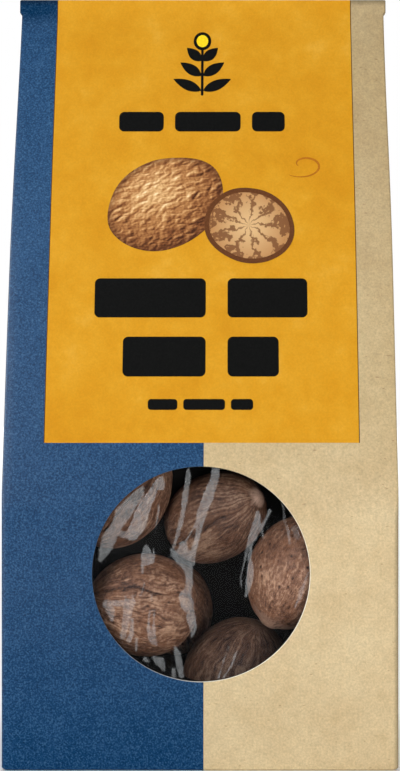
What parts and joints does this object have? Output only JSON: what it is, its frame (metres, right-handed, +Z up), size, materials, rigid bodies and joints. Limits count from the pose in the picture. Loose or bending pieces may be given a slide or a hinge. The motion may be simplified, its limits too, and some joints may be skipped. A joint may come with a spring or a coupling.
{
  "type": "windowed paperboard pack of whole nutmegs",
  "caption": "Upright folded paperboard pack with a leaning top, folded-in sides and a round film window that shows whole nutmegs.",
  "frame": {"origin": "middle of the base on the surface it stands on", "axes": "+Z up, the printed front with its window faces -Y, +X to the right seen from the front"},
  "size_m": [0.08, 0.046, 0.1615],
  "materials": {
    "board": "matt uncoated board, printed blue on the left, kraft on the right, with a yellow label field",
    "film": "thin clear crumpled plastic film",
    "inner_bag": "dark inside of the pack behind the nutmegs",
    "nutmeg": "dry brown seed with fine fibrous wrinkles"
  },
  "bodies": {
    "root": {"carton": "board", "window_film": "film", "inner_bag": "inner_bag", "nutmeg_upper_left": "nutmeg", "nutmeg_upper_middle": "nutmeg", "nutmeg_right": "nutmeg", "nutmeg_lower_left": "nutmeg", "nutmeg_rear_left": "nutmeg", "nutmeg_bottom": "nutmeg"}
  },
  "joints": []
}
